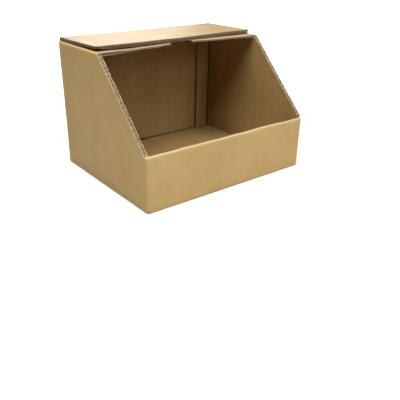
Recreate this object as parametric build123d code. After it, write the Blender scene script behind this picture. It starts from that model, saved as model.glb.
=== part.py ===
from build123d import *
import os

# Open-front stacking bin folded from one sheet of double-wall corrugated board.
# X runs across the opening, Y runs from the front lip to the back, Z is up.
# The origin is the middle of the footprint, on the surface the bin stands on.

# Overall size of the folded bin, in millimetres
width = 400.0
depth = 322.0
height = 271.0

# Board, made of two fluted layers between three liners
board = 7.0
liner = 0.6
middle_liner = 0.5
fine_flute_height = 2.4
fine_flute_pitch = 6.4
coarse_flute_pitch = 7.9
medium_thickness = 0.45
flute_foot = 1.05
flute_crest = 0.35

# Folds
fold_radius = 5.0
edge_radius = 3.8

# Front lip, doubled over at the rim
lip_height = 110.0

# Sloping front edges of the side panels, which end just above the rim
slope_rise_left = 0.8
slope_rise_right = 5.0

# Level top, with the side flaps lying under the back flap
roof_depth = 166.0
side_flap_length = 172.0
top_flap_depth = 147.0
top_flap_inset = 4.5

# Glued joint at the back right corner
glue_tab_width = 35.0
back_edge_setback = 1.5

# Gaps that the folded board leaves
layer_gap = 0.4
flap_seam = 1.2
flap_side_gap = 1.0
floor_back_gap = 3.0
roof_back_gap = 1.0

# Depth of the open flutes behind a cut edge
flute_reach = 9.0
slot_reach = 2.6

half_width = width / 2
half_depth = depth / 2
inner_x = half_width - board
inner_y = half_depth - board
roof_z = height - board - layer_gap
floor_z = 2 * board + layer_gap
roof_front_y = half_depth - roof_depth
lip_back_y = -half_depth + 2 * board + layer_gap
tab_foot_z = floor_z + layer_gap
tab_top_z = roof_z - board - layer_gap
tab_edge_x = inner_x - glue_tab_width
back_edge_x = half_width - back_edge_setback
coarse_flute_height = board - 2 * liner - middle_liner - fine_flute_height
# Anything cut away runs past the board by this much
past = 1.0


def block(x_low, x_high, y_low, y_high, z_low, z_high):
    size = (x_high - x_low, y_high - y_low, z_high - z_low)
    return Pos(x_low, y_low, z_low) * Box(*size, align=(Align.MIN, Align.MIN, Align.MIN))


def prism_across(points, x_low, x_high):
    """A solid across the bin from a closed outline of (y, z) points."""
    face = Plane.YZ.offset(x_low) * make_face(Polyline(*points, close=True))
    return extrude(face, amount=x_high - x_low)


# Flutes open at a cut edge

def flute_voids(length, pitch, low, high):
    """Outlines of the open cells of one fluted layer, as (along, through) points."""
    voids = []
    count = int(length / pitch)
    first = (length - count * pitch) / 2
    for i in range(count):
        start = first + i * pitch
        middle = start + pitch / 2
        voids.append([
            (start + flute_foot, low),
            (start + pitch - flute_foot, low),
            (middle + flute_crest, high - medium_thickness),
            (middle - flute_crest, high - medium_thickness),
        ])
    for i in range(count - 1):
        start = first + (i + 0.5) * pitch
        middle = start + pitch / 2
        voids.append([
            (middle - flute_crest, low + medium_thickness),
            (middle + flute_crest, low + medium_thickness),
            (start + pitch - flute_foot, high),
            (start + flute_foot, high),
        ])
    return voids


def board_voids(length):
    """Open cells of both fluted layers, counted through the board from its outer face."""
    fine_top = liner + fine_flute_height
    coarse_low = fine_top + middle_liner
    fine = flute_voids(length, fine_flute_pitch, liner, fine_top)
    coarse = flute_voids(length, coarse_flute_pitch, coarse_low, coarse_low + coarse_flute_height)
    return fine + coarse


def layer_slots():
    """Low and high bounds of the two fluted layers, for an edge cut along the flutes."""
    fine_top = liner + fine_flute_height
    return [(liner, fine_top), (fine_top + middle_liner, board - liner)]


# Walls

def wall_plan():
    """Plan of the upright panels, with the glue tab turned in behind the back panel."""
    back = Pos(-half_width, inner_y) * Rectangle(
        back_edge_x + half_width, board, align=(Align.MIN, Align.MIN)
    )
    left = Pos(-half_width, -half_depth) * Rectangle(board, depth, align=(Align.MIN, Align.MIN))
    front = Pos(-half_width, -half_depth) * Rectangle(width, board, align=(Align.MIN, Align.MIN))
    loop = back + left + front
    folds = [v for v in loop.vertices() if abs(v.X) == half_width and abs(v.Y) == half_depth]
    loop = fillet([v for v in folds if v.X < 0 or v.Y < 0], radius=fold_radius)
    right = Pos(inner_x, -half_depth + board) * Rectangle(
        board, depth - 2 * board, align=(Align.MIN, Align.MIN)
    )
    turned = [v for v in right.vertices() if v.X == half_width and v.Y > 0]
    right = fillet(turned, radius=fold_radius)
    tab = Pos(tab_edge_x, inner_y - board) * Rectangle(
        glue_tab_width + past, board, align=(Align.MIN, Align.MIN)
    )
    return loop + right, tab


def slope_cutter(x_low, x_high, rise):
    """What is cut away in front of and above a side panel's sloping edge."""
    foot_z = lip_height + rise
    outline = [
        (-half_depth - past, lip_height - board),
        (-inner_y, lip_height - board),
        (-inner_y, foot_z),
        (roof_front_y, roof_z),
        (roof_front_y, roof_z + past),
        (-half_depth - past, roof_z + past),
    ]
    return prism_across(outline, x_low, x_high)


def rounded_bars():
    """Two crossed bars whose rounded edges are the folds along the panels' tops and bottoms."""
    front_view = Plane.XZ * RectangleRounded(width, roof_z, edge_radius)
    side_view = Plane.YZ * RectangleRounded(depth, roof_z, edge_radius)
    across = extrude(front_view, amount=half_depth, both=True)
    along = extrude(side_view, amount=half_width, both=True)
    return Pos(0, 0, roof_z / 2) * (across & along)


def free_edge_slots():
    """Open layers in the back panel's free edge and the glue tab's, both cut along the flutes."""
    slots = []
    for low, high in layer_slots():
        slots.append(block(back_edge_x - slot_reach, back_edge_x + past, half_depth - high,
                           half_depth - low, edge_radius, roof_z - edge_radius))
        slots.append(block(tab_edge_x - past, tab_edge_x + slot_reach, inner_y - high,
                           inner_y - low, tab_foot_z + liner, tab_top_z - liner))
    return slots


def walls():
    plan, tab_plan = wall_plan()
    loop = extrude(plan, amount=roof_z) & rounded_bars()
    loop -= slope_cutter(-half_width - past, 0, slope_rise_left)
    loop -= slope_cutter(0, half_width + past, slope_rise_right)
    tab = Pos(0, 0, tab_foot_z) * extrude(tab_plan, amount=tab_top_z - tab_foot_z)
    return loop + tab - free_edge_slots()


# Front lip

def front_lip():
    """Front panel above the floor, turned over at the rim with its inner panel inside."""
    outline = make_face(Polyline(
        (-half_depth, board),
        (-half_depth, lip_height),
        (lip_back_y, lip_height),
        (lip_back_y, board),
        close=True,
    ))
    rim = [v for v in outline.vertices() if v.Y == lip_height]
    section = fillet(rim, radius=edge_radius)
    bar = extrude(Plane.YZ.offset(-half_width) * section, amount=width)
    corners = extrude(RectangleRounded(width, depth, fold_radius), amount=height)
    bar = bar & corners
    slit = block(-half_width, half_width, -inner_y, -inner_y + layer_gap, 0, lip_height - board)
    under = block(-half_width, half_width, -inner_y, lip_back_y + past, 0, floor_z + layer_gap)
    bar -= slit + under
    inner_end = inner_x - flap_side_gap
    for x_low, x_high in ((-half_width - past, -inner_end), (inner_end, half_width + past)):
        bar -= block(x_low, x_high, -inner_y, lip_back_y + past, 0, height)
    return bar


# Bottom, two layers of flaps that each meet in the middle

def bottom_flaps():
    side = inner_x - flap_side_gap
    seam = flap_seam / 2
    front = block(-side, side, -inner_y - past, -seam, 0, board)
    back = block(-side, side, seam, inner_y + past, 0, board)
    low = board + layer_gap
    front_y = -inner_y + layer_gap
    back_y = inner_y - floor_back_gap
    left = block(-inner_x - past, -seam, front_y, back_y, low, floor_z)
    right = block(seam, inner_x + past, front_y, back_y, low, floor_z)
    return front + back + left + right


# Level top

def side_flap():
    """The left side panel's top flap, with its front edge cut along the flutes."""
    free_x = -half_width + side_flap_length
    front_y = roof_front_y + slot_reach + liner
    back_y = inner_y - roof_back_gap
    flap = block(-inner_x - past, free_x, roof_front_y, back_y, roof_z - board, roof_z)
    for low, high in layer_slots():
        flap -= block(-inner_x, free_x - liner, roof_front_y - past, roof_front_y + slot_reach,
                      roof_z - high, roof_z - low)
    cells = []
    for outline in board_voids(back_y - liner - front_y):
        points = [(front_y + u, roof_z - v) for u, v in outline]
        face = Plane.YZ.offset(free_x - flute_reach) * make_face(Polyline(*points, close=True))
        cells.append(extrude(face, amount=flute_reach + past))
    return flap.cut(*cells)


def fold_section():
    """Back panel's top and the back flap in one, as a solid that the fold divides."""
    points = [
        (half_depth - top_flap_depth, height),
        (half_depth, height),
        (half_depth, roof_z - board),
        (inner_y, roof_z - board),
        (inner_y, height - board),
        (half_depth - top_flap_depth, height - board),
    ]
    outline = make_face(Polyline(*points, close=True))
    corner = [v for v in outline.vertices() if v.X == half_depth and v.Y == height]
    section = fillet(corner, radius=edge_radius)
    reach = half_width - top_flap_inset
    return extrude(Plane.YZ.offset(-reach) * section, amount=2 * reach)


def beyond_fold(shift):
    """Everything on the flap's side of the fold's mitre plane, moved off it by a shift."""
    run = depth
    outline = [
        (half_depth + run - shift, height + run),
        (half_depth - run - shift, height - run),
        (half_depth - 2 * run, height - run),
        (half_depth - 2 * run, height + run),
    ]
    return prism_across(outline, -width, width)


def slope_flutes(x_outer, inward, rise):
    """Open flutes along one side panel's sloping edge."""
    foot_y = -inner_y
    foot_z = lip_height + rise
    run = roof_front_y - foot_y
    steepness = (roof_z - foot_z) / run
    cells = []
    for outline in board_voids(run):
        along = [u for u, v in outline]
        low = foot_z + min(along) * steepness - flute_reach
        top = foot_z + max(along) * steepness + past
        points = [(x_outer + inward * v, foot_y + u) for u, v in outline]
        face = Plane.XY.offset(low) * make_face(Polyline(*points, close=True))
        cells.append(extrude(face, amount=top - low, dir=(0, 0, 1)))
    return cells


def front_flutes():
    """Open flutes along the top flap's front edge, clear of the slots in its side edges."""
    front_y = half_depth - top_flap_depth
    length = width - 2 * (top_flap_inset + slot_reach + liner)
    cells = []
    for outline in board_voids(length):
        points = [(u - length / 2, height - v) for u, v in outline]
        face = Plane.XZ.offset(-front_y + past) * make_face(Polyline(*points, close=True))
        cells.append(extrude(face, amount=flute_reach + past, dir=(0, 1, 0)))
    return cells


def make_bin_body():
    body = walls() + front_lip() + bottom_flaps()
    left_flap = side_flap()
    body += left_flap
    body += mirror(left_flap, about=Plane.YZ)
    body += fold_section() - beyond_fold(-layer_gap / 2)
    body = body.cut(*slope_flutes(-half_width, 1, slope_rise_left))
    body = body.cut(*slope_flutes(half_width, -1, slope_rise_right))
    return body


def make_top_flap():
    flap = fold_section() & beyond_fold(layer_gap / 2)
    front_y = half_depth - top_flap_depth
    side_x = half_width - top_flap_inset
    for low, high in layer_slots():
        for side in (-1, 1):
            x_low, x_high = sorted((side * (side_x - slot_reach), side * (side_x + past)))
            flap -= block(x_low, x_high, front_y + liner, inner_y, height - high, height - low)
    return flap.cut(*front_flutes())


parts = {
    "bin_body": make_bin_body(),
    "top_flap": make_top_flap(),
}

os.makedirs("parts", exist_ok=True)
for name, shape in parts.items():
    export_step(shape, f"parts/{name}.step")
    print(name, round(shape.volume), shape.bounding_box())
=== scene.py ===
import bmesh
import bpy
import math
import numpy as np
from mathutils import Euler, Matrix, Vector


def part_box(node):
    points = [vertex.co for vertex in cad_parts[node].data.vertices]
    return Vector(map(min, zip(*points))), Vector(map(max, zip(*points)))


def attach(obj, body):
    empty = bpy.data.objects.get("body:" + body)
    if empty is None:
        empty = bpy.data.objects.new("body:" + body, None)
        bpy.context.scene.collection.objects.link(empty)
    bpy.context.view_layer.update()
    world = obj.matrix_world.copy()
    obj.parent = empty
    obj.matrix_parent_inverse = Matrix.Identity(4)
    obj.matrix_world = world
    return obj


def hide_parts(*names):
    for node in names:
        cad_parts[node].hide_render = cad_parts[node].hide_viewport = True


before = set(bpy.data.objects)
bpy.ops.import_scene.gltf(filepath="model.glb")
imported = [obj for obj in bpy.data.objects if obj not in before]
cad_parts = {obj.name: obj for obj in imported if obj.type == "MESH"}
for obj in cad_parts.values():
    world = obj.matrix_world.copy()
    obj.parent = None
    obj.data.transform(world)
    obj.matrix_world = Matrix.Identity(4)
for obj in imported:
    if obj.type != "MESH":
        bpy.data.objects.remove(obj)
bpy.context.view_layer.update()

# Lengths are in millimetres until a mesh is made, and the frame is in metres
MM = 0.001
body_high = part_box("bin_body")[1]
flap_low, flap_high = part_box("top_flap")
half_width = body_high.x / MM
half_depth = body_high.y / MM
height = flap_high.z / MM
board = (flap_high.z - flap_low.z) / MM
flap_half = flap_high.x / MM
flap_front_y = flap_low.y / MM

# Layers of the board, from its outer face inwards: fine flutes, then coarse flutes, between liners.
# The fluted sheets are thicker than in the solids, so that they show, and their crests are cut flat
# where the wave overswings
liner = 0.5
medium = 0.65
fine_height = 2.4
fine_pitch = 6.4
coarse_pitch = 7.9
fine_high = liner + fine_height
coarse_low = fine_high + liner
overswing = 1.12

# Washboard relief of the liners over the flute tips, and where it starts past the flaps' folds
fine_relief = 0.05
coarse_relief = 0.06
side_relief_start = 8
side_relief_run = 10
top_relief_start = 4
top_relief_run = 8

# Folded board
layer_gap = 0.4
fold_radius = 5.0
edge_radius = 3.8
crease_depth = 2.2
inner_x = half_width - board
inner_y = half_depth - board
roof_z = height - board - layer_gap
floor_z = 2 * board + layer_gap

# Front rim, doubled and rolled to the inside
rim_z = 110.0
rim_width = 2 * board + layer_gap
rim_radius = 2.0
rim_fall = 8.0
rim_end_step = 0.3

# Side panels and their flaps. side_flap_end is the left flap's, and the right one mirrors it
roof_front_y = -5.0
rise_left = 0.8
rise_right = 5.0
side_gap = 1.0
side_seam_z = roof_z - edge_radius - 6.0
side_flap_end = -28.0
side_fold_inset = 0.6

# Back panel's free edge, glue tab and floor
free_edge_x = 198.5
tab_end = 154.0
# Width of the painted shade on the glue tab beside the back right corner
tab_crease_shade = 4.0
tab_gap = 0.05
tab_foot_radius = 0.2
seam = 0.3
floor_gap_left = 8.0
floor_gap_right = 4.0

# Cut edges: how deep they are open, how far in the layers start, and the liners' torn lips
groove_depth = 15.0
groove_drops = (2.0, 7.0, groove_depth)
groove_floor = (0.25, 0.4, 0.6, 0.75)
slot_depth = 4.0
fluted_inset = 0.15
slotted_inset = 0.3
flare = 0.7
burr = 0.75
tear_height = 0.7
tear_drop = 0.4
plain_inset = 0.2

# Painted shade: a dark line at the foot of the inner faces, wider towards the left end of the back panel
foot_shade = 2.4
foot_shade_x = 100.0
foot_shade_run = 150.0
foot_shade_least = 0.25

# Unevenness of the folded sheet: how far it reaches from the rim and the side panels, how fast the
# rim's fades towards the corners, and how far the rim and the side panels bow inwards
rim_reach_y = 22
rim_reach_z = 26
side_reach = 12
waver_fade = 6
bow_fade = 4
rim_bow_depth = 0.5
side_belly = 0.9

# Side flaps: taper and upward bend towards the free end, and the crush of the front edge as its
# share at the fold, its gain, and where the gain starts and how long it takes along the flap
taper = 8.0
taper_power = 1.3
taper_reach = 90
bend_up = 1.6
crush_reach = 45
crush_shift = 0.6
crush_shift_rate = 3
left_crush = (0.1, 0.5, 0.1, 0.4)
right_crush = (0.3, 0.3, 0.0, 0.15)

# Side flaps: the lip in front of the sunk core, and where along the flap it is shut
lip_below = 2.2 * liner
lip_above = 1.8 * liner
lip_fold_reach = 1.5
left_shut_start = 0.28
right_shut_start = 0.04
shut_run = 0.2
shut_depth = 0.6

# Top flap: how its front edge springs up, is crushed and runs forward, most at the left corner
spring = 1.0
corner_spring = 1.3
corner_run = 110
spring_power = 1.5
edge_crush = 0.04
corner_crush = 0.36
crush_run = 26
skew = 8.0
skew_start_x = 90

# Pale paper along the outer folds, partly rubbed and stretched paper and partly a painted highlight,
# and a painted sheen on a side flap behind its front edge
wear_and_highlight_reach = 2.4
wear_and_highlight_fade = 2.0
corner_wear_and_highlight = 0.5
rim_wear_and_highlight = 0.35
rim_wear_and_highlight_reach = 3.4
rim_wear_and_highlight_depth = 11.0
rim_wear_and_highlight_top = 2.0
painted_sheen_rows = 12

# Wavering lines, each with its seed, wave lengths and sizes
rim_waver = (3, (61, 97, 190), (0.22, 0.28, 0.3))
rim_bow = (4, (83, 150, 260), (0.2, 0.3, 0.35))
burr_waver = (13, (5.3, 13.0, 31.0), (0.3, 0.25, 0.2))
flare_waver = (14, (6.4, 17.0, 43.0), (0.35, 0.3, 0.25))
side_flap_waver = (24, (23, 41, 75), (0.12, 0.2, 0.3))
top_flap_waver = (21, (90, 160, 310), (0.15, 0.25, 0.35))
top_flap_crush = (27, (37, 83), (0.03, 0.03))

# The same without a seed
tear_waver = ((4.3, 11.0, 29.0), (0.4, 0.35, 0.25))
flute_drift = ((70, 130), (0.25, 0.3))
layer_tear = ((3.1, 7.7, 17), (0.06, 0.08, 0.08))
fine_slot_drift = ((90, 210), (0.3, 0.5))
coarse_slot_drift = ((120, 240), (0.4, 0.6))

# Seeds of the torn liners and of the layers behind each edge. The side, -1 or 1, is added to an
# edge's seed where there are two such edges
outer_tear_seed = 11
inner_tear_seed = 12
slope_seed = 31
flap_end_seed = 41
flap_front_seed = 51
back_edge_seed = 61
tab_edge_seed = 63
lid_front_seed = 71
lid_side_seed = 75

# Marks for strips of a mesh, as places in the list of papers
# The last mark is a near-black paper: painted shade in creases, grooves, slots and at the foot of the
# inner faces
FACE, INNER, CORE, CUT, PAINTED_SHADE = 0, 1, 2, 3, 4

# Marks for strips of a fluted layer, as places in the list of its two papers
FLUTE, TIP = 0, 1

# How finely the meshes are cut up and cleaned. A hair lies between columns of different kinds
column_step = 1.0
fine_step = 0.45
slot_step = 4.0
outer_rows = 16
edge_rows = 12
arc_steps = 5
fold_steps = 9
flap_rows = 14
side_flap_points = 40
top_flap_points = 20
hair = 0.01
merge_distance = 0.004
sliver = 0.002
sharp_angle = 35.0


# Meshes

def add_object(name, data):
    made = bpy.data.objects.new(name, data)
    bpy.context.scene.collection.objects.link(made)
    return made


def worn_and_highlit(x, y, z):
    """How much a point lies on an outer fold, painted pale: partly rubbed, stretched paper and partly a
    painted highlight.
    """
    def past(value, limit):
        return np.clip((value - limit) / wear_and_highlight_fade, 0, 1)
    side = past(np.abs(x), half_width - wear_and_highlight_reach)
    back = past(y, half_depth - wear_and_highlight_reach)
    front = past(-y, half_depth - wear_and_highlight_reach)
    roof = past(z, roof_z - wear_and_highlight_reach) * side
    corner = side * np.maximum(back, front) * corner_wear_and_highlight
    on_rim = past(z, rim_z - rim_wear_and_highlight_reach) * past(-y, half_depth - rim_wear_and_highlight_depth)
    rim = on_rim * (z < rim_z + rim_wear_and_highlight_top) * rim_wear_and_highlight
    fold = past(z, height - wear_and_highlight_reach) * back
    return np.clip(np.maximum.reduce([roof, corner, rim, fold]), 0, 1)


def mesh_object(name, vertices, faces, kinds, materials):
    mesh = bpy.data.meshes.new(name)
    mesh.from_pydata((np.asarray(vertices) * MM).tolist(), [], faces)
    for material in materials:
        mesh.materials.append(material)
    mesh.polygons.foreach_set("material_index", kinds)
    mesh.validate()
    made = add_object(name, mesh)
    work = bmesh.new()
    work.from_mesh(mesh)
    bmesh.ops.remove_doubles(work, verts=work.verts, dist=merge_distance * MM)
    bmesh.ops.dissolve_degenerate(work, edges=work.edges, dist=sliver * MM)
    bmesh.ops.recalc_face_normals(work, faces=work.faces)
    work.to_mesh(mesh)
    work.free()
    mesh.polygons.foreach_set("use_smooth", [True] * len(mesh.polygons))
    at = np.empty(3 * len(mesh.vertices), np.float32)
    mesh.vertices.foreach_get("co", at)
    wear_and_highlight = mesh.attributes.new("worn_and_highlit", "FLOAT", "POINT")
    wear_and_highlight.data.foreach_set("value", worn_and_highlit(*(at.reshape(-1, 3).T / MM)).astype(np.float32))
    mesh.set_sharp_from_angle(angle=math.radians(sharp_angle))
    return made


def loft(name, rings, marks, materials, end_mark=CUT):
    """A closed solid through rings of points, each ring a closed section. marks[k][j] is the
    paper of the strip from point j to j + 1 between ring k and the next."""
    rings = np.asarray(rings, float)
    count, points = rings.shape[:2]
    faces, kinds = [], []
    for k in range(count - 1):
        here, there = k * points, (k + 1) * points
        for j in range(points):
            after = (j + 1) % points
            faces.append((here + j, here + after, there + after, there + j))
            both = (marks[k][j], marks[k + 1][j])
            kinds.append(max(both) if CUT in both else both[0])
    faces.append(tuple(range(points)))
    faces.append(tuple(reversed(range((count - 1) * points, count * points))))
    kinds += [end_mark, end_mark]
    return mesh_object(name, rings.reshape(-1, 3), faces, kinds, materials)


def steps(start, end, step=column_step):
    return np.linspace(start, end, max(2, int(round(abs(end - start) / step)) + 1))


def steps_through(stops):
    """Steps from each stop to the next, in one row."""
    return np.concatenate([steps(a, b) for a, b in zip(stops, stops[1:])])


def row_of_points(x, y, z):
    """Points along an edge. Each of x, y and z is one number or one for every point."""
    return np.stack(np.broadcast_arrays(x, y, z), axis=1)


# Slight unevenness, the same for every piece of the folded sheet

def waves(along, seed, lengths, sizes):
    """A smooth wavering line: a sum of sines with seeded phases."""
    phases = np.random.default_rng(seed).uniform(0, 2 * math.pi, len(lengths))
    return sum(size * np.sin(2 * math.pi * along / length + phase)
               for length, size, phase in zip(lengths, sizes, phases))


def near(value, centre, reach):
    return np.exp(-((value - centre) / reach) ** 2)


def smooth(value):
    value = np.clip(value, 0, 1)
    return value * value * (3 - 2 * value)


def warp_bin(points):
    """Bends the folded sheet a little: a wavering rim that bows inwards, and bowed sides."""
    p = np.array(points, float)
    x, y, z = p[..., 0].copy(), p[..., 1].copy(), p[..., 2].copy()
    inside = np.clip(1 - np.abs(x) / half_width, 0, 1)
    at_rim = near(y, -half_depth + board, rim_reach_y) * near(z, rim_z, rim_reach_z)
    p[..., 2] += at_rim * np.minimum(1, waver_fade * inside) * waves(x, *rim_waver)
    p[..., 1] += at_rim * np.minimum(1, bow_fade * inside) * (rim_bow_depth + waves(x, *rim_bow))
    on_side = near(np.abs(x), half_width - board / 2, side_reach)
    up = np.sin(math.pi * np.clip(z / roof_z, 0, 1))
    back = np.sin(math.pi * np.clip((y + half_depth) / (2 * half_depth), 0, 1))
    p[..., 0] -= np.sign(x) * on_side * (up * back) * side_belly
    return p


def washboard(along, pitch, relief):
    return relief * np.cos(2 * math.pi * along / pitch)


# Walls

def ragged(along, pitch, seed):
    """How far a liner's torn edge stands above or below the cut."""
    wave = tear_height * np.sin(2 * math.pi * along / pitch)
    return wave + waves(along, seed, *tear_waver) - tear_drop


def rim_arc():
    """Section over the doubled rim: a crushed ridge that falls away to the inside."""
    turn = np.linspace(0, math.pi / 2, arc_steps)
    rise = [(rim_radius * (1 - math.cos(a)), rim_z - rim_radius * (1 - math.sin(a))) for a in turn]
    back = rim_width - rim_radius
    fall_turn = np.linspace(0, math.pi / 2, edge_rows - arc_steps + 1)[1:]
    fall = [(rim_radius + back * math.sin(a), rim_z - rim_fall * (1 - math.cos(a))) for a in fall_turn]
    return rise + fall


def cut_section(top, along):
    """Section over a cut across the flutes: torn liners with a deep groove between them."""
    outer_top = top + ragged(along, fine_pitch, outer_tear_seed)
    inner_top = top + ragged(along, coarse_pitch, inner_tear_seed)
    rolled = burr + waves(along, *burr_waver)
    splay = flare + waves(along, *flare_waver)
    down = [(rolled, outer_top)] + [(liner, top - drop) for drop in groove_drops]
    across = [(board * share, top - groove_depth) for share in groove_floor]
    up = [(board - liner, top - drop) for drop in reversed(groove_drops)] + [(board - rolled, inner_top)]
    return down + across + up, outer_top, inner_top, board + splay


def mitre_section():
    """Section over the back panel's top, where the back flap folds: round outside, then slanted."""
    turn = np.linspace(0, math.pi / 4, arc_steps)
    over = [(edge_radius * (1 - math.cos(a)), height - edge_radius * (1 - math.sin(a)) - layer_gap / 2)
            for a in turn]
    first, last = over[-1], (board, height - board - layer_gap / 2)
    for share in np.linspace(0, 1, edge_rows - arc_steps + 1)[1:]:
        over.append((first[0] + (last[0] - first[0]) * share, first[1] + (last[1] - first[1]) * share))
    return over, height - edge_radius, last[1], board


def section(kind, top, along):
    """Points over a panel's top edge, as depth through the board against height, then the heights
    where the outer and the inner face end and the depth of the inner one. Kinds that aren't named
    here, the seam, plain, crease and tab ones, end level."""
    if kind == "cut":
        return cut_section(top, along)
    if kind == "mitre":
        return mitre_section()
    if kind == "rim":
        return rim_arc(), rim_z - rim_radius, rim_z - rim_fall, rim_width
    if kind == "rim_end":
        level = np.linspace(rim_radius + rim_end_step, board, edge_rows - arc_steps)
        return rim_arc()[:arc_steps] + [(deep, rim_z) for deep in level], rim_z - rim_radius, rim_z, board
    level = np.linspace(plain_inset, board - plain_inset, edge_rows)
    return [(deep, top) for deep in level], top, top, board


def wall_ring(outer, inner, kind, top, foot):
    """One closed section of the wall, from the bottom fold up the outer face and down the inner
    one, with its marks and the two runs of points that make the faces."""
    over, outer_top, inner_top, width = section(kind, top, outer[1])
    inner_foot = foot if kind != "rim" else floor_z + layer_gap
    radius = edge_radius if foot == 0 else tab_foot_radius
    turn = np.linspace(0, math.pi / 2, arc_steps)
    profile = [(radius * (1 - math.sin(a)), foot + radius * (1 - math.cos(a))) for a in turn]
    profile += [(0.0, z) for z in np.linspace(foot + radius, outer_top, outer_rows)[1:]]
    first_edge = len(profile)
    after_edge = first_edge + edge_rows
    profile += over
    # Height of the painted shade line at the foot of the inner face, highest towards the left of the back
    # panel
    shade = foot_shade_least
    if outer[1] > inner_y:
        shade = np.clip((foot_shade_x - outer[0]) / foot_shade_run, foot_shade_least, 1)
    shade_top = max(inner_foot, floor_z + foot_shade * shade)
    profile += [(width, z) for z in np.linspace(inner_top, shade_top, outer_rows - 1)]
    profile.append((width, inner_foot))
    if kind == "cut":
        profile[first_edge - 1] = (-flare, outer_top)
        profile[after_edge + 1:] = [(board, z) for _, z in profile[after_edge + 1:]]
    profile += [(board, inner_foot), (board, foot)]
    deep, z = np.array(profile).T[:, :, None]
    out = np.array(outer, float)
    across = (np.array(inner, float) - out) / board
    ring = np.hstack([out + across * deep, z])
    faces = (slice(arc_steps - 1, first_edge), slice(after_edge, -2))
    return ring, wall_marks(kind, len(profile), first_edge), faces


def wall_marks(kind, count, first_edge):
    """The paper of each strip of a wall's section."""
    after_edge = first_edge + edge_rows
    marks = [FACE] * count
    if kind != "rim":
        marks[after_edge:] = [INNER] * (count - after_edge)
        # The strip at the foot of the inner face is painted shade
        marks[after_edge + outer_rows - 2] = PAINTED_SHADE
    # The inner face of the back right corner's crease, and of the tab beside it, is all painted shade
    if kind in ("crease", "tab_crease_shade"):
        marks[after_edge:] = [PAINTED_SHADE] * (count - after_edge)
    if kind in ("cut", "plain", "crease"):
        marks[first_edge - 1:after_edge] = [CUT] * (edge_rows + 1)
    # The groove of a cut edge takes the fluting paper, partly painted shade
    if kind == "cut":
        marks[first_edge:after_edge - 1] = [CORE] * (edge_rows - 1)
    return marks


def slope_z(y, rise):
    """Height of a side panel's sloping edge."""
    foot_z = rim_z + rise
    return foot_z + (y + inner_y) * (roof_z - foot_z) / (roof_front_y + inner_y)


def side_columns(side, rise, y_start, y_end, inner_end):
    """Columns of a side panel as (outer, inner, kind, top), in the order they are walked."""
    flap_back_y = inner_y - side_gap
    stops = sorted([y_start, y_end, roof_front_y, roof_front_y - hair, flap_back_y, flap_back_y + hair,
                    -inner_y, -inner_y - hair], reverse=y_start > y_end)
    stops = [y for y in stops if min(y_start, y_end) <= y <= max(y_start, y_end)]
    columns = []
    for y in steps_through(stops):
        if y < -inner_y:
            kind, top = "rim_end", rim_z
        elif y < roof_front_y:
            kind, top = "cut", slope_z(y, rise)
        elif y <= flap_back_y:
            kind, top = "seam", side_seam_z
        else:
            kind, top = "plain", roof_z
        inner = (side * inner_x, np.clip(y, -inner_y, inner_end))
        columns.append(((side * half_width, y), inner, kind, top))
    return columns


def fold_columns(centre, start, inner, kind, top):
    """Columns round an outer fold, a quarter turn from a start angle, creased on the inside."""
    columns = []
    middle = math.radians(start + 45)
    inner = (inner[0] + crease_depth * math.cos(middle), inner[1] + crease_depth * math.sin(middle))
    for turn in np.radians(np.linspace(start, start + 90, fold_steps)):
        outer = (centre[0] + fold_radius * math.cos(turn), centre[1] + fold_radius * math.sin(turn))
        columns.append((outer, inner, kind, top))
    return columns


def wall_columns():
    """The whole strip: back, left, front and right panels, then the glue tab."""
    near_x, near_y = half_width - fold_radius, half_depth - fold_radius
    columns = []
    for x in steps_through([free_edge_x, flap_half, flap_half - hair, -flap_half + hair, -near_x]):
        kind = "mitre" if abs(x) < flap_half - hair / 2 else "plain"
        columns.append(((x, half_depth), (max(x, -inner_x), inner_y), kind, roof_z))
    columns += fold_columns((-near_x, near_y), 90, (-inner_x, inner_y), "plain", roof_z)
    columns += side_columns(-1, rise_left, near_y, -near_y, inner_y)
    columns += fold_columns((-near_x, -near_y), 180, (-inner_x, -inner_y), "rim_end", rim_z)
    front = [-near_x, -inner_x + side_gap, -inner_x + side_gap + hair]
    for x in steps_through(front + [-x for x in reversed(front)]):
        kind = "rim" if abs(x) < inner_x - side_gap - hair / 2 else "rim_end"
        columns.append(((x, -half_depth), (np.clip(x, -inner_x, inner_x), -inner_y), kind, rim_z))
    columns += fold_columns((near_x, -near_y), 270, (inner_x, -inner_y), "rim_end", rim_z)
    columns += side_columns(1, rise_right, -near_y, inner_y - fold_radius, inner_y - board)
    columns += fold_columns((near_x, inner_y - fold_radius), 0, (inner_x, inner_y - board),
                            "crease", roof_z)
    tab_top = roof_z - board - layer_gap
    crease_end = inner_x - tab_crease_shade
    for x in steps_through([near_x - hair, crease_end, crease_end - hair, tab_end]):
        kind = "tab_crease_shade" if x > crease_end - hair / 2 else "tab"
        columns.append(((x, inner_y - tab_gap), (min(x, inner_x), inner_y - board), kind, tab_top))
    return columns


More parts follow.
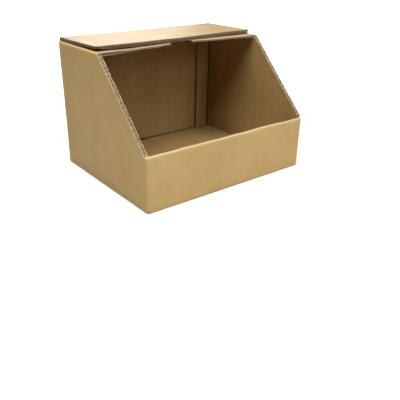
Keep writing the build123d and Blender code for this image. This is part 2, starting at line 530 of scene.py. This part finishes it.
def make_walls(materials):
    rings, marks = [], []
    travelled, last = 0.0, None
    columns = wall_columns()
    for outer, inner, kind, top in columns:
        outer, inner = np.array(outer, float), np.array(inner, float)
        if last is not None:
            travelled += np.linalg.norm(outer - last)
        last = outer
        foot = floor_z + layer_gap if kind.startswith("tab") else 0.0
        ring, mark, (outside, inside) = wall_ring(outer, inner, kind, top, foot)
        away = np.append(outer - inner, 0.0)
        away /= np.linalg.norm(away)
        ring[outside] += away * washboard(travelled, fine_pitch, fine_relief)
        if kind == "rim":
            ring[inside] -= away * washboard(travelled, fine_pitch, fine_relief)
        else:
            ring[inside] -= away * washboard(travelled, coarse_pitch, coarse_relief)
        rings.append(ring)
        marks.append(mark)
    rings = slotted_ends(rings, columns)
    core = [CORE] * len(marks[0])
    marks = [core, marks[0]] + marks + [marks[-1], core]
    return loft("bin_sheet", warp_bin(rings), marks, materials, end_mark=CORE)


def slotted_ends(rings, columns):
    """Adds rings that sink the board's core behind both free edges of the strip."""
    def sunk(ring, outer, inner, along):
        across = np.append((np.array(inner) - np.array(outer)) / board, 0.0)
        depth_in = (ring - np.append(outer, 0.0)) @ across / (across @ across)
        shift = np.clip(depth_in, liner, board - liner) - depth_in
        level = np.clip(ring[:, 2], ring[:, 2].min() + liner, ring[:, 2].max() - liner)
        lip = ring + across * shift[:, None]
        lip[:, 2] = level
        return lip + np.array([*along, 0.0]) * slot_depth, lip
    first, first_lip = sunk(rings[0], *columns[0][:2], (-1, 0))
    last, last_lip = sunk(rings[-1], *columns[-1][:2], (1, 0))
    return [first, first_lip] + rings + [last_lip, last]


# Fluted layers behind a cut edge

def ribbon(name, edge_points, inward, across, thickness, length, materials, warp):
    """A thin sheet that starts at a line of points and runs inward, as a closed solid."""
    half = np.broadcast_to(across, edge_points.shape) * thickness / 2
    middle, end = inward * length / 2, inward * length
    rings = np.stack([
        edge_points - half,
        edge_points + half,
        edge_points + half + middle,
        edge_points + half + end,
        edge_points - half + end,
        edge_points - half + middle,
    ], axis=1)
    marks = [[TIP] + [FLUTE] * (rings.shape[1] - 1)] * len(rings)
    return loft(name, warp(rings), marks, materials, end_mark=FLUTE)


def flute_line(along, pitch, low, high, seed):
    """How deep in the board a fluted layer lies, along a cut edge. Its crests are flattened."""
    middle, swing = (low + high) / 2, (high - low - medium) / 2
    drift = waves(along, seed, *flute_drift)
    wave = overswing * np.sin(2 * math.pi * (along + drift) / pitch)
    return middle + swing * np.clip(wave, -1, 1)


def fluted_edge(name, along, corner, inward, across, materials, seed, warp, frayed=1.0):
    """Both fluted layers and the middle liner behind an edge cut across the flutes. corner holds
    the points of the edge's outer corner, and across is the way from the outer face to the inner."""
    inward, across = np.array(inward, float), np.array(across, float)
    torn = waves(along, seed + 5, *layer_tear)[:, None] * inward
    layers = {
        "fine": (flute_line(along, fine_pitch, liner, fine_high, seed), medium),
        "coarse": (flute_line(along, coarse_pitch, coarse_low, board - liner, seed + 1), medium),
        "middle": (np.full(len(along), (fine_high + coarse_low) / 2), liner),
    }
    made = []
    for layer, (deep, thickness) in layers.items():
        points = corner + deep[:, None] * across + fluted_inset * inward + torn
        made.append(ribbon(f"{name}_{layer}", points, inward, across, frayed * thickness, groove_depth,
                           materials, warp))
    return made


def slotted_edge(name, along, corner, inward, across, materials, seed, warp):
    """The same layers where the edge is cut along the flutes: the fluted ones show as lines."""
    inward, across = np.array(inward, float), np.array(across, float)
    layers = {
        "fine": ((liner + fine_high) / 2 + waves(along, seed, *fine_slot_drift), medium),
        "coarse": ((coarse_low + board - liner) / 2 + waves(along, seed + 1, *coarse_slot_drift), medium),
        "middle": (np.full(len(along), (fine_high + coarse_low) / 2), liner),
    }
    made = []
    for layer, (deep, thickness) in layers.items():
        points = corner + deep[:, None] * across + slotted_inset * inward
        made.append(ribbon(f"{name}_{layer}", points, inward, across, thickness, slot_depth,
                           materials, warp))
    return made


# Flaps

def open_end(low, high, end, depth):
    """Four points of a flap's cut end, as place along the flap against height: a groove between
    its upper and its lower liner."""
    return [
        (end, high - liner),
        (end + depth, high - liner),
        (end + depth, low + liner),
        (end, low + liner),
    ]


def flap_marks(count, top_end, in_groove):
    """The paper of each strip of a flap's section: face, cut end with its groove, inner face."""
    marks = [FACE] * (top_end - 1) + [CUT] + [in_groove] * 3 + [CUT]
    return marks + [INNER] * (count - len(marks))


def side_flap_share(x):
    """How far along a side flap a point lies, 0 at its fold and 1 at its free end."""
    return np.clip((inner_x - np.abs(x)) / (inner_x + side_flap_end), 0, 1)


def crush_share(along, at_fold, gain, start, run):
    """How flat a side flap's front edge is crushed, from its fold to its free end."""
    return at_fold + gain * smooth((along - start) / run)


def warp_side_flap(points):
    """A side flap tapers towards its free end, and its front edge is crushed and bent up there."""
    p = np.array(points, float)
    x, y, z = p[..., 0].copy(), p[..., 1].copy(), p[..., 2].copy()
    along = side_flap_share(x)
    at_front = smooth(1 - (y - roof_front_y) / crush_reach)
    crush = np.where(x < 0, crush_share(along, *left_crush), crush_share(along, *right_crush))
    shift = np.where(x < 0, -crush_shift, crush_shift) * smooth(along * crush_shift_rate)
    middle = roof_z - board / 2 + shift
    p[..., 2] = z + (middle - z) * crush * at_front * (along > 0) + bend_up * smooth(along) * at_front
    p[..., 2] += at_front * along * waves(x, *side_flap_waver)
    p[..., 1] = y + taper * along ** taper_power * smooth(1 - (y - roof_front_y) / taper_reach)
    return warp_bin(p)


def side_flap_profile():
    """The left side flap's section, seen from the front, with the number of points up to the end of
    its upper face and with which points belong to its fold."""
    low = roof_z - board
    fold = [(-half_width, side_seam_z)]
    for a in np.linspace(0, math.pi / 2, fold_steps):
        fold.append((-half_width + edge_radius * (1 - math.cos(a)),
                     roof_z - edge_radius * (1 - math.sin(a))))
    level = np.linspace(-inner_x + side_fold_inset, side_flap_end, side_flap_points)
    profile = fold + [(x, roof_z) for x in level]
    top_end = len(profile)
    profile += open_end(low, roof_z, side_flap_end, -groove_depth)
    profile += [(x, low) for x in level[::-1]]
    profile += [(-inner_x, low - side_fold_inset), (-inner_x, side_seam_z)]
    index = np.arange(len(profile))
    on_fold = (index < len(fold)) | (index >= len(profile) - 2)
    return np.array(profile), top_end, on_fold


def sunk_front(front, side):
    """Three rings ahead of a side flap's front one: its core, shut and sunk, and its lip."""
    x = np.abs(front[:, 0])
    lip = front.copy()
    lip[:, 2] = np.clip(lip[:, 2], roof_z - board + lip_below, roof_z - lip_above)
    at_fold = x > inner_x - lip_fold_reach
    lip[at_fold, 0] = side * np.clip(x[at_fold], inner_x + liner, half_width - liner)
    shut_start = left_shut_start if side < 0 else right_shut_start
    shut = smooth((side_flap_share(x) - shut_start) / shut_run)
    deep = lip.copy()
    deep[:, 1] += slot_depth * (1 - shut_depth * shut)
    closed = deep.copy()
    closed[:, 2] = roof_z - board / 2
    return [closed, deep, lip]


def make_side_flap(name, side, materials):
    """A side panel's top flap, with the fold that joins it to the panel. Its front edge is cut
    along the flutes, open near the fold and crushed shut towards the free end."""
    profile, top_end, on_fold = side_flap_profile()
    px, pz = profile[:, 0] * -side, profile[:, 1]
    index = np.arange(len(profile))
    at_end = (index >= top_end) & (index < top_end + 4)
    relief = np.clip((half_width - side_relief_start - np.abs(px)) / side_relief_run, 0, 1)
    rings = []
    for y in steps(roof_front_y, inner_y - side_gap):
        bump = np.where(index < top_end, washboard(y, fine_pitch, fine_relief),
                        -washboard(y, coarse_pitch, coarse_relief))
        rings.append(row_of_points(px, y, pz + np.where(at_end, 0, bump * relief)))
    marks = flap_marks(len(profile), top_end, CORE)
    # The left flap's open slot is painted shade inside; the right one, crushed shut, shows cut paper
    inside = [PAINTED_SHADE if side < 0 else CUT] * len(profile)
    front = [FACE if folded else CUT for folded in on_fold]
    # A strip of the upper face behind the front edge is painted pale with cut paper, a painted sheen
    pale = [CUT if j < top_end - 1 and not on_fold[j] else mark for j, mark in enumerate(marks)]
    marks = [inside, inside, front] + [pale] * painted_sheen_rows + [marks] * (len(rings) - painted_sheen_rows)
    return loft(name, warp_side_flap(sunk_front(rings[0], side) + rings), marks, materials)


def flat_flap(name, x_low, x_high, y_low, y_high, z_low, z_high, flutes_along, materials):
    """A plain level flap, with the washboard of its liners across the flutes."""
    across_x = flutes_along == "y"
    run = steps(x_low, x_high) if across_x else steps(y_low, y_high)
    span = (y_low, y_high) if across_x else (x_low, x_high)
    rows = np.linspace(*span, flap_rows)
    rings = []
    for u in run:
        top = [(v, z_high + washboard(u, coarse_pitch, coarse_relief)) for v in rows]
        bottom = [(v, z_low + fine_relief + washboard(u, fine_pitch, fine_relief)) for v in rows[::-1]]
        rings.append([(u, v, z) if across_x else (v, u, z) for v, z in top + bottom])
    face = flap_rows - 1
    marks = [INNER] * face + [CUT] + [FACE] * face + [CUT]
    return loft(name, warp_bin(rings), [marks] * len(rings), materials)


def warp_flap(points):
    """The top flap springs up a little, most at its left end, and waves. It is held at its fold.
    Its front left corner is crushed, and its front edge runs further forward to the left."""
    p = np.array(points, float)
    x, y = p[..., 0].copy(), p[..., 1].copy()
    free = np.clip((half_depth - y) / (half_depth - flap_front_y), 0, 1)
    at_left = smooth((-x - flap_half + corner_run) / corner_run)
    at_corner = smooth((-x - flap_half + crush_run) / crush_run)
    crushed = free ** spring_power * (edge_crush + corner_crush * at_corner + waves(x, *top_flap_crush))
    p[..., 2] = height - (height - p[..., 2]) * (1 - crushed)
    p[..., 1] -= free * skew * np.clip((skew_start_x - x) / (skew_start_x + flap_half), 0, 1)
    p[..., 2] += free ** spring_power * (spring + corner_spring * at_left + waves(x, *top_flap_waver))
    return p


def sunk_side(ring, way):
    """The sunk core and the lip of the top flap's side, which is cut along the flutes."""
    lip = ring.copy()
    lip[:, 2] = np.clip(ring[:, 2], height - board + liner, height - liner)
    deep = lip.copy()
    deep[:, 0] += way * slot_depth
    return [deep, lip]


def make_top_flap(materials):
    """The back flap from its mitred fold to the open flutes of its front edge."""
    low = height - board
    shift = layer_gap / 2
    profile = [(half_depth - shift - edge_radius * (1 - math.cos(a)),
                height - edge_radius * (1 - math.sin(a)))
               for a in np.linspace(math.pi / 4, math.pi / 2, arc_steps)]
    level = np.linspace(half_depth - edge_radius, flap_front_y, top_flap_points)
    profile += [(y, height) for y in level[1:]]
    top_end = len(profile)
    profile += open_end(low, height, flap_front_y, groove_depth)
    profile += [(y, low) for y in np.linspace(flap_front_y, inner_y - shift, top_flap_points)]
    py, pz = np.array(profile).T
    index = np.arange(len(profile))
    at_end = (index >= top_end) & (index < top_end + 4)
    relief = np.clip((half_depth - py - top_relief_start) / top_relief_run, 0, 1)
    # The groove of the front edge and the sunk sides are painted shade
    marks = flap_marks(len(profile), top_end, PAINTED_SHADE)
    rings = []
    for x in steps(-flap_half, flap_half):
        bump = np.where(index < top_end, washboard(x, fine_pitch, fine_relief) - fine_relief,
                        coarse_relief - washboard(x, coarse_pitch, coarse_relief))
        rings.append(row_of_points(x, py, pz + np.where(at_end, 0, bump * relief)))
    core, cut = [PAINTED_SHADE] * len(profile), [CUT] * len(profile)
    marks = [core, cut] + [marks] * len(rings) + [core, core]
    rings = sunk_side(rings[0], 1) + rings + sunk_side(rings[-1], -1)[::-1]
    return loft("top_flap_sheet", warp_flap(rings), marks, materials, end_mark=PAINTED_SHADE)


# Materials

# Layers of the paper's tone: noise scale along each axis, its detail and roughness, and the noise
# values between which one tone turns to the other
clouds = {"scale": (9, 9, 9), "detail": 4.0, "rough": 0.55, "low": 0.3, "high": 0.7}
streaks = {"scale": (190, 190, 6), "detail": 2.0, "rough": 0.6, "low": 0.36, "high": 0.62}
stains = {"scale": (15, 22, 12), "detail": 4.0, "rough": 0.6, "low": 0.4, "high": 0.6}
fibres = {"scale": (160, 160, 900), "detail": 4.0, "rough": 0.6, "low": 0.35, "high": 0.65}
flecks = {"scale": (700, 700, 260), "detail": 3.0, "rough": 0.6, "low": 0.28, "high": 0.36}

white = (1.0, 1.0, 1.0)
brown_fleck = (0.5, 0.42, 0.32)
grey_fleck = (0.5, 0.45, 0.4)
wear_and_highlight_tone = (0.78, 0.68, 0.55, 1.0)
streak_tone = (0.8, 0.76, 0.72)
stain_tone = (1.0, 0.88, 0.8)
fibre_tone = (0.86, 0.85, 0.83)
wear_and_highlight_share = 0.55
fibre_share = 0.5
fleck_share = 0.35
paper_shine = 0.25
fibre_relief = 0.0002


def shader(name):
    material = bpy.data.materials.new(name)
    material.use_nodes = True
    nodes, links = material.node_tree.nodes, material.node_tree.links
    bsdf = nodes["Principled BSDF"]
    return material, nodes, links, bsdf


def noise(nodes, links, vector, layer):
    """A layer's noise, in space stretched by the layer's scale."""
    stretch = nodes.new("ShaderNodeVectorMath")
    stretch.operation = "MULTIPLY"
    stretch.inputs[1].default_value = layer["scale"]
    links.new(vector, stretch.inputs[0])
    node = nodes.new("ShaderNodeTexNoise")
    node.inputs["Scale"].default_value = 1.0
    node.inputs["Detail"].default_value = layer["detail"]
    node.inputs["Roughness"].default_value = layer["rough"]
    links.new(stretch.outputs["Vector"], node.inputs["Vector"])
    return node.outputs["Fac"]


def ramp(nodes, links, factor, layer, low_tone, high_tone):
    """One tone where the noise is low and another where it is high."""
    node = nodes.new("ShaderNodeValToRGB")
    stops = ((layer["low"], low_tone), (layer["high"], high_tone))
    for element, (place, colour) in zip(node.color_ramp.elements, stops):
        element.position = place
        element.color = (*colour, 1.0)
    links.new(factor, node.inputs["Fac"])
    return node.outputs["Color"]


def blend_colour(nodes, links, factor, first, second, mode="MIX"):
    node = nodes.new("ShaderNodeMix")
    node.data_type = "RGBA"
    node.blend_type = mode
    colours = [socket for socket in node.inputs if socket.type == "RGBA"]
    for socket, value in zip([node.inputs[0], *colours], (factor, first, second)):
        if hasattr(value, "is_linked"):
            links.new(value, socket)
        else:
            socket.default_value = value
    return [socket for socket in node.outputs if socket.type == "RGBA"][0]


def object_place(nodes):
    return nodes.new("ShaderNodeTexCoord").outputs["Object"]


def kraft(name, light, dark, fleck, roughness, bump, streaked=0.1, stained=0.4):
    """Brown kraft paper: cloudy tone, upright streaks, reddish stains, fine fibres, pale rubbed paper and
    painted highlight on outer folds, and scattered darker flecks."""
    material, nodes, links, bsdf = shader(name)
    place = object_place(nodes)

    def darkened(tone, factor, layer, layer_tone, share):
        tint = ramp(nodes, links, factor, layer, layer_tone, white)
        return blend_colour(nodes, links, share, tone, tint, "MULTIPLY")

    tone = ramp(nodes, links, noise(nodes, links, place, clouds), clouds, dark, light)
    tone = darkened(tone, noise(nodes, links, place, streaks), streaks, streak_tone, streaked)
    tone = darkened(tone, noise(nodes, links, place, stains), stains, stain_tone, stained)
    grain = noise(nodes, links, place, fibres)
    tone = darkened(tone, grain, fibres, fibre_tone, fibre_share)
    wear_and_highlight = nodes.new("ShaderNodeAttribute")
    wear_and_highlight.attribute_name = "worn_and_highlit"
    pale = blend_colour(nodes, links, wear_and_highlight_share, tone, wear_and_highlight_tone)
    tone = blend_colour(nodes, links, wear_and_highlight.outputs["Fac"], tone, pale)
    tone = darkened(tone, noise(nodes, links, place, flecks), flecks, fleck, fleck_share)
    links.new(tone, bsdf.inputs["Base Color"])
    bsdf.inputs["Roughness"].default_value = roughness
    bsdf.inputs["Specular IOR Level"].default_value = paper_shine
    relief = nodes.new("ShaderNodeBump")
    relief.inputs["Strength"].default_value = bump
    relief.inputs["Distance"].default_value = fibre_relief
    links.new(grain, relief.inputs["Height"])
    links.new(relief.outputs["Normal"], bsdf.inputs["Normal"])
    return material


def pick_by_ray(nodes, links, for_light, for_camera, target):
    """One shader for the light that bounces and another for what the camera sees."""
    pick = nodes.new("ShaderNodeMixShader")
    links.new(nodes.new("ShaderNodeLightPath").outputs["Is Camera Ray"], pick.inputs["Fac"])
    links.new(for_light, pick.inputs[1])
    links.new(for_camera, pick.inputs[2])
    links.new(pick.outputs["Shader"], target)


def pale_floor():
    """White to look at, fading to pure white away from the object, and dull in the light it returns."""
    seen_colour = (0.9, 0.9, 0.9, 1.0)
    returned_colour = (0.6, 0.59, 0.57, 1.0)
    fade = {"From Min": 0.15, "From Max": 0.9, "To Min": 0.1, "To Max": 1.1}
    material, nodes, links, bsdf = shader("pale_floor")
    nodes.remove(bsdf)
    seen = nodes.new("ShaderNodeBsdfDiffuse")
    seen.inputs["Color"].default_value = seen_colour
    glow = nodes.new("ShaderNodeEmission")
    distance = nodes.new("ShaderNodeVectorMath")
    distance.operation = "LENGTH"
    links.new(object_place(nodes), distance.inputs[0])
    away = nodes.new("ShaderNodeMapRange")
    away.interpolation_type = "SMOOTHSTEP"
    for socket, value in fade.items():
        away.inputs[socket].default_value = value
    links.new(distance.outputs["Value"], away.inputs["Value"])
    links.new(away.outputs["Result"], glow.inputs["Strength"])
    both = nodes.new("ShaderNodeAddShader")
    links.new(seen.outputs["BSDF"], both.inputs[0])
    links.new(glow.outputs["Emission"], both.inputs[1])
    dull = nodes.new("ShaderNodeBsdfDiffuse")
    dull.inputs["Color"].default_value = returned_colour
    pick_by_ray(nodes, links, dull.outputs["BSDF"], both.outputs["Shader"],
                nodes["Material Output"].inputs["Surface"])
    return material


liner_paper = kraft("kraft_liner", light=(0.6, 0.42, 0.175), dark=(0.535, 0.37, 0.145),
                    fleck=brown_fleck, roughness=0.55, bump=0.25)
# The inner liner is darker than the outer one, partly as painted shade for the dim inside of the box
inner_and_shade_paper = kraft("kraft_inner_liner_and_shade", light=(0.4, 0.265, 0.106), dark=(0.325, 0.213, 0.079),
                    fleck=brown_fleck, roughness=0.8, bump=0.3, streaked=0.38)
# The top flap's upper paper: more stained than the liner, and greyer as a painted sheen for the glare on
# the top
lid_and_sheen_paper = kraft("kraft_lid_and_sheen", light=(0.53, 0.39, 0.205), dark=(0.46, 0.33, 0.165),
                  fleck=brown_fleck, roughness=0.5, bump=0.25, stained=0.9)
cut_paper = kraft("cut_board", light=(0.52, 0.405, 0.265), dark=(0.37, 0.28, 0.175),
                  fleck=grey_fleck, roughness=0.9, bump=0.5)
# Fluting paper, darker than the liners: partly the medium's own tone, partly painted shade of the board's
# hollow core and flute openings
flute_and_shade_paper = kraft("fluting_and_shade", light=(0.3, 0.22, 0.135), dark=(0.2, 0.14, 0.085),
                    fleck=grey_fleck, roughness=0.9, bump=0.5)
# Near-black paper: painted shade in creases, grooves, slots and at the foot of the inner faces
painted_shade_paper = kraft("painted_shade_kraft", light=(0.1, 0.06, 0.026), dark=(0.06, 0.036, 0.016),
                   fleck=grey_fleck, roughness=0.95, bump=0.4)
papers = [liner_paper, inner_and_shade_paper, flute_and_shade_paper, cut_paper, painted_shade_paper]
fluting_and_shade = [flute_and_shade_paper, cut_paper]

# Directions
LEFT, RIGHT = (-1, 0, 0), (1, 0, 0)
BACK, FRONT = (0, 1, 0), (0, -1, 0)
DOWN = (0, 0, -1)

# The folded sheet
on_bin = []
walls = make_walls(papers)
on_bin.append(walls)
on_bin.append(make_side_flap("side_flap_left", -1, papers))
on_bin.append(make_side_flap("side_flap_right", 1, papers))
flap_x = inner_x - side_gap
inner_low = board + layer_gap
on_bin.append(flat_flap("bottom_flap_front", -flap_x, flap_x, -inner_y, -seam / 2, 0, board, "y", papers))
on_bin.append(flat_flap("bottom_flap_back", -flap_x, flap_x, seam / 2, inner_y, 0, board, "y", papers))
floor_front_y = -inner_y + layer_gap
on_bin.append(flat_flap("floor_flap_left", -inner_x, -seam / 2, floor_front_y, inner_y - floor_gap_left,
                        inner_low, floor_z, "x", papers))
on_bin.append(flat_flap("floor_flap_right", seam / 2, inner_x, floor_front_y, inner_y - floor_gap_right,
                        inner_low, floor_z, "x", papers))

# Open edges of the folded sheet. Each row of layers stops a little short of the edge's ends
slope_short = 0.5
end_short_front = 1.2
end_short_back = 0.8
front_short_free = 1.0
front_short_fold = 2.0
back_edge_short = 1.0
tab_edge_short = 1.5
slope_run = steps(-inner_y, roof_front_y - slope_short, fine_step)
end_run = steps(roof_front_y + end_short_front, inner_y - side_gap - end_short_back, fine_step)
front_run = steps(-side_flap_end + groove_depth + front_short_free, inner_x - front_short_fold, slot_step)
for side, rise, side_name, outwards, inwards in (
        (-1, rise_left, "left", LEFT, RIGHT), (1, rise_right, "right", RIGHT, LEFT)):
    slope_line = row_of_points(side * half_width, slope_run, slope_z(slope_run, rise))
    on_bin += fluted_edge(f"slope_{side_name}", slope_run, slope_line, DOWN, inwards,
                          fluting_and_shade, slope_seed + side, warp_bin)
    end_line = row_of_points(-side * side_flap_end, end_run, roof_z)
    on_bin += fluted_edge(f"flap_end_{side_name}", end_run, end_line, outwards, DOWN,
                          fluting_and_shade, flap_end_seed + side, warp_side_flap)
    front_line = row_of_points(side * front_run, roof_front_y, roof_z)
    on_bin += slotted_edge(f"flap_front_{side_name}", side * front_run, front_line, BACK, DOWN,
                           fluting_and_shade, flap_front_seed + side, warp_side_flap)
back_run = steps(back_edge_short, roof_z - back_edge_short, slot_step)
back_line = row_of_points(free_edge_x, half_depth, back_run)
on_bin += slotted_edge("back_edge", back_run, back_line, LEFT, FRONT, fluting_and_shade, back_edge_seed, warp_bin)
tab_run = steps(floor_z + tab_edge_short, roof_z - board - tab_edge_short, slot_step)
tab_line = row_of_points(tab_end, inner_y - tab_gap, tab_run)
on_bin += slotted_edge("tab_edge", tab_run, tab_line, RIGHT, FRONT, fluting_and_shade, tab_edge_seed, warp_bin)

for piece in on_bin:
    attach(piece, "bin")
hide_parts("bin_body")

# The back flap
on_flap = [make_top_flap([lid_and_sheen_paper] + papers[1:])]
lid_short = slot_depth + 0.5
lid_side_short_front = 0.8
lid_side_short_back = 1.0
lid_frayed = 0.85
lid_run = steps(-flap_half + lid_short, flap_half - lid_short, fine_step)
lid_line = row_of_points(lid_run, flap_front_y, height)
on_flap += fluted_edge("top_flap_front", lid_run, lid_line, BACK, DOWN,
                       fluting_and_shade, lid_front_seed, warp_flap, frayed=lid_frayed)
lid_side_run = steps(flap_front_y + lid_side_short_front, inner_y - lid_side_short_back, slot_step)
for side, side_name, inwards in ((-1, "left", RIGHT), (1, "right", LEFT)):
    lid_side_line = row_of_points(side * flap_half, lid_side_run, height)
    on_flap += slotted_edge(f"top_flap_{side_name}", lid_side_run, lid_side_line, inwards, DOWN,
                            fluting_and_shade, lid_side_seed + side, warp_flap)
for piece in on_flap:
    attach(piece, "top_flap")
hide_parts("top_flap")

# Camera, from the photo's viewing angle
picture_px = 400.0
focal_px = 499.51
principal_x_px = 184.0
sensor_mm = 36.0
camera_place = (-632.2, -835.9, 433.4)
yaw = math.radians(37.316)
pitch = math.radians(-26.709)
roll = math.radians(0.488)
camera_data = bpy.data.cameras.new("camera")
camera_data.sensor_width = sensor_mm
camera_data.lens = camera_data.sensor_width * focal_px / picture_px
camera_data.shift_x = (picture_px / 2 - principal_x_px) / picture_px
camera = add_object("camera", camera_data)
camera.location = Vector(camera_place) * MM
aim = Vector((math.sin(yaw) * math.cos(pitch), math.cos(yaw) * math.cos(pitch), math.sin(pitch)))
camera.rotation_mode = "QUATERNION"
turned = aim.to_track_quat("-Z", "Y")
camera.rotation_quaternion = turned @ Euler((0, 0, roll)).to_quaternion()
bpy.context.scene.camera = camera

# Floor, in metres
floor_size = 12.0
corner = floor_size / 2
floor_mesh = bpy.data.meshes.new("floor")
floor_mesh.from_pydata(
    [(-corner, -corner, 0), (corner, -corner, 0), (corner, corner, 0), (-corner, corner, 0)],
    [], [(0, 1, 2, 3)])
floor_mesh.materials.append(pale_floor())
floor = add_object("floor", floor_mesh)

# Light: a weak one from all around, a white backdrop that only the camera sees, and softboxes
ambient = 0.015
backdrop_glow = 1.1
light_aim = Vector((0, 0, 0.1))
world = bpy.data.worlds.new("studio")
world.use_nodes = True
bpy.context.scene.world = world
world_nodes, world_links = world.node_tree.nodes, world.node_tree.links
fill_light = world_nodes["Background"]
backdrop = world_nodes.new("ShaderNodeBackground")
for background, strength in ((fill_light, ambient), (backdrop, backdrop_glow)):
    background.inputs["Color"].default_value = (*white, 1.0)
    background.inputs["Strength"].default_value = strength
pick_by_ray(world_nodes, world_links, fill_light.outputs["Background"], backdrop.outputs["Background"],
            world_nodes["World Output"].inputs["Surface"])


def softbox(name, azimuth, elevation, distance, size, power):
    """A round softbox that faces the object. Azimuth runs clockwise from the object's front, seen
    from above. Distance and size are in metres, power in watts."""
    turn, lift = math.radians(azimuth), math.radians(elevation)
    data = bpy.data.lights.new(name, "AREA")
    data.shape = "DISK"
    data.size = size
    data.energy = power
    made = add_object(name, data)
    way = Vector((-math.sin(turn) * math.cos(lift), -math.cos(turn) * math.cos(lift), math.sin(lift)))
    made.location = way * distance + light_aim
    made.rotation_mode = "QUATERNION"
    made.rotation_quaternion = (-way).to_track_quat("-Z", "Y")
    made.visible_camera = False


softbox("key", azimuth=60.0, elevation=70.0, distance=2.2, size=1.9, power=66.0)
softbox("right", azimuth=-25.0, elevation=50.0, distance=2.2, size=1.0, power=12.5)
softbox("low", azimuth=-10.0, elevation=30.0, distance=2.2, size=1.0, power=10.5)
softbox("sheen", azimuth=208.0, elevation=14.0, distance=2.4, size=0.9, power=12.0)

bpy.context.scene.view_settings.view_transform = "Standard"
